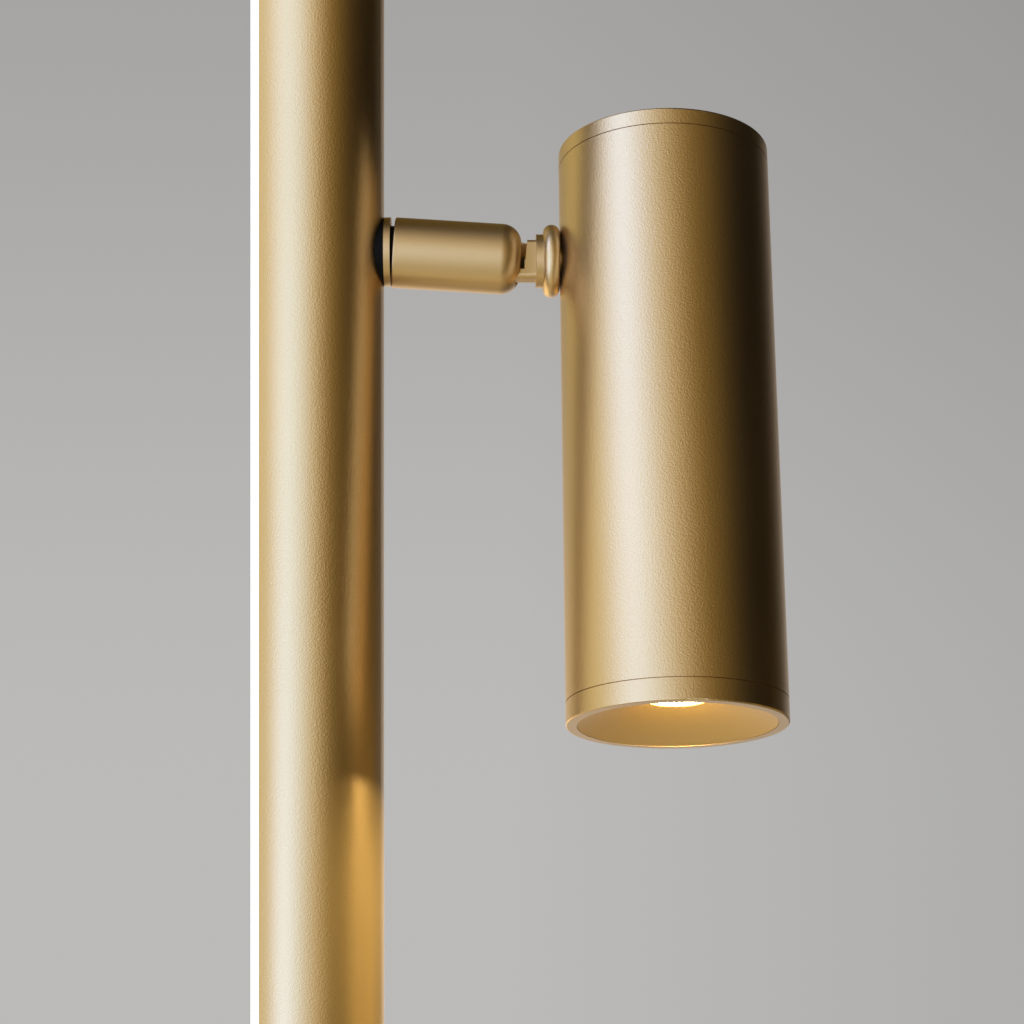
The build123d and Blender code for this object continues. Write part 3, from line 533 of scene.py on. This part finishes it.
def make_world(stage):
    """Grey studio: the camera sees a plain backdrop that darkens upwards, and the lamp is lit by soft
    lobes, each the cosine from its direction raised to its sharpness."""
    world = bpy.data.worlds.new("studio")
    world.use_nodes = True
    tree = world.node_tree
    tree.nodes.clear()
    output = add_node(tree, "ShaderNodeOutputWorld", (900, 0))
    place = add_node(tree, "ShaderNodeTexCoord", (-900, 0))
    studio = add_node(tree, "ShaderNodeBackground", (420, -200), name="studio")
    total = None
    for number, (name, azimuth, elevation, sharpness, colour) in enumerate(STUDIO):
        level = -220 * number
        dot = add_node(tree, "ShaderNodeVectorMath", (-640, level), operation="DOT_PRODUCT")
        dot.inputs[1].default_value = aimed(azimuth, elevation)
        join(tree, place, "Generated", dot, 0)
        facing = add_node(tree, "ShaderNodeMath", (-460, level), operation="MAXIMUM")
        facing.inputs[1].default_value = 0.0
        join(tree, dot, "Value", facing, 0)
        lobe = add_node(tree, "ShaderNodeMath", (-280, level), operation="POWER")
        lobe.inputs[1].default_value = sharpness
        join(tree, facing, 0, lobe, 0)
        glow = add_node(tree, "ShaderNodeVectorMath", (-100, level), operation="SCALE", name="lobe_" + name)
        glow.inputs[0].default_value = colour
        join(tree, lobe, 0, glow, "Scale")
        if total:
            both = add_node(tree, "ShaderNodeVectorMath", (140, level), operation="ADD")
            join(tree, total, 0, both, 0)
            join(tree, glow, 0, both, 1)
            total = both
        else:
            total = glow
    join(tree, total, 0, studio, "Color")
    split = add_node(tree, "ShaderNodeSeparateXYZ", (-640, 300))
    join(tree, place, "Generated", split, 0)
    rise = add_node(tree, "ShaderNodeMapRange", (-460, 300), interpolation_type="SMOOTHSTEP")
    rise.inputs["From Min"].default_value = BACKDROP_FOOT_Z
    rise.inputs["From Max"].default_value = BACKDROP_TOP_Z
    join(tree, split, "Z", rise, "Value")
    wall = add_node(tree, "ShaderNodeValToRGB", (-240, 300))
    low, high = wall.color_ramp.elements
    low.color = (*stage.backdrop_foot, 1.0)
    high.color = (*stage.backdrop_top, 1.0)
    join(tree, rise, 0, wall, "Fac")
    side = add_node(tree, "ShaderNodeMapRange", (-460, 560))
    side.inputs["From Min"].default_value = 0.0
    side.inputs["From Max"].default_value = SHADE_WIDTH
    side.inputs["To Min"].default_value = 1.0
    side.inputs["To Max"].default_value = SHADE_LEVEL
    join(tree, split, "X", side, "Value")
    backdrop = add_node(tree, "ShaderNodeBackground", (420, 200), name="backdrop")
    join(tree, wall, "Color", backdrop, "Color")
    join(tree, side, 0, backdrop, "Strength")
    path = add_node(tree, "ShaderNodeLightPath", (420, 560))
    either = add_node(tree, "ShaderNodeMixShader", (680, 0))
    join(tree, path, "Is Camera Ray", either, 0)
    join(tree, studio, 0, either, 1)
    join(tree, backdrop, 0, either, 2)
    join(tree, either, 0, output, "Surface")
    return world


def make_floor(stage):
    """Round floor: rings whose radius grows with the square of their number, from the middle out."""
    rings, around = FLOOR_RINGS, ROUND_STEPS
    radius = stage.floor_radius * (np.arange(1, rings + 1) / rings) ** 2
    angle = np.linspace(0.0, 2.0 * math.pi, around, endpoint=False)
    flat = np.zeros((rings, around, 3))
    flat[..., 0] = radius[:, None] * np.cos(angle)
    flat[..., 1] = radius[:, None] * np.sin(angle)
    points = np.concatenate([np.zeros((1, 3)), flat.reshape(-1, 3)])
    column = np.arange(around)
    beside = (column + 1) % around
    middle = np.stack([np.zeros(around, int), 1 + column, 1 + beside], -1)
    row = np.arange(rings - 1)[:, None] * around + 1
    quads = np.stack([row + column, row + around + column, row + around + beside, row + beside], -1)
    mesh = bpy.data.meshes.new("floor")
    mesh.from_pydata(points.tolist(), [], middle.tolist() + quads.reshape(-1, 4).tolist())
    mesh.update()
    floor = bpy.data.objects.new("floor", mesh)
    bpy.context.scene.collection.objects.link(floor)
    material = grained(
        "pale_floor", tuple(stage.floor_colour), 0.65, 0.0, 0.004, 0.00005, tone=0.03, gloss=0.1, cloud=3.0)
    tree = material.node_tree
    surface = next(node for node in tree.nodes if node.type == "BSDF_PRINCIPLED")
    place = add_node(tree, "ShaderNodeTexCoord", (-700, -500))
    reach = add_node(tree, "ShaderNodeVectorMath", (-500, -500), operation="LENGTH")
    fade = add_node(tree, "ShaderNodeMapRange", (-300, -500), interpolation_type="SMOOTHSTEP")
    fade.inputs["From Min"].default_value = FLOOR_FADE_START * stage.floor_radius
    fade.inputs["From Max"].default_value = stage.floor_radius
    fade.inputs["To Min"].default_value = 1.0
    fade.inputs["To Max"].default_value = 0.0
    join(tree, place, "Object", reach, 0)
    join(tree, reach, "Value", fade, "Value")
    join(tree, fade, 0, surface, "Alpha")
    mesh.materials.append(material)
    floor.visible_glossy = False
    return floor


def soft_light(name, place, aim, size, power):
    """Large rectangular lamp that shines from its place towards a point and isn't seen itself."""
    light = bpy.data.lights.new(name, "AREA")
    light.shape = "RECTANGLE"
    light.size, light.size_y = size
    light.energy = power
    lamp = bpy.data.objects.new(name, light)
    bpy.context.scene.collection.objects.link(lamp)
    lamp.location = place
    lamp.rotation_mode = "QUATERNION"
    lamp.rotation_quaternion = (Vector(aim) - Vector(place)).to_track_quat("-Z", "Y")
    lamp.visible_camera = False
    return lamp


class LAMP_OT_stage(Operator):
    """Camera, soft studio light, pale floor and grey background"""

    bl_idname = "lamp.stage"
    bl_label = "Stage"

    def execute(self, context):
        scene = context.scene
        stage = scene.lamp_stage
        view = bpy.data.cameras.new("camera")
        view.sensor_width = SENSOR_WIDTH
        view.lens = stage.camera_lens
        view.clip_start = 0.02
        view.clip_end = 100.0
        camera = bpy.data.objects.new("camera", view)
        scene.collection.objects.link(camera)
        camera.location = stage.camera_place
        camera.rotation_euler = (math.radians(90.0), 0.0, 0.0)
        scene.camera = camera
        scene.view_settings.view_transform = "Standard"
        scene.world = make_world(stage)
        ground = bpy.data.collections.new("ground")
        ground.objects.link(make_floor(stage))
        overhead = soft_light(
            "floor_light", (0.0, 0.0, 3.2), (0.0, 0.0, 0.0), (3.0, 3.0), stage.floor_light)
        overhead.light_linking.receiver_collection = ground
        return {"FINISHED"}


class LAMP_PT_panel(Panel):
    """Sizes, colours and steps of the lamp"""

    bl_idname = "LAMP_PT_panel"
    bl_label = "Light-line floor lamp"
    bl_space_type = "VIEW_3D"
    bl_region_type = "UI"
    bl_category = "Lamp"

    def draw(self, context):
        layout = self.layout
        for settings in (context.scene.lamp_finish, context.scene.lamp_stage):
            box = layout.box()
            for name in settings.__annotations__:
                box.prop(settings, name)
        for step in STEPS:
            layout.operator(step.bl_idname)


STEPS = (
    LAMP_OT_pole,
    LAMP_OT_base,
    LAMP_OT_line,
    LAMP_OT_arm,
    LAMP_OT_head,
    LAMP_OT_spot,
    LAMP_OT_inner,
    LAMP_OT_stage,
)
CLASSES = (LampFinish, LampStage, *STEPS, LAMP_PT_panel)


def register():
    for cls in CLASSES:
        bpy.utils.register_class(cls)
    bpy.types.Scene.lamp_finish = PointerProperty(type=LampFinish)
    bpy.types.Scene.lamp_stage = PointerProperty(type=LampStage)


def unregister():
    del bpy.types.Scene.lamp_stage
    del bpy.types.Scene.lamp_finish
    for cls in reversed(CLASSES):
        bpy.utils.unregister_class(cls)


def main():
    register()
    bpy.ops.lamp.pole()
    bpy.ops.lamp.base()
    bpy.ops.lamp.line()
    bpy.ops.lamp.arm()
    bpy.ops.lamp.head()
    bpy.ops.lamp.spot()
    bpy.ops.lamp.inner()
    bpy.ops.lamp.stage()


if __name__ == "__main__":
    main()
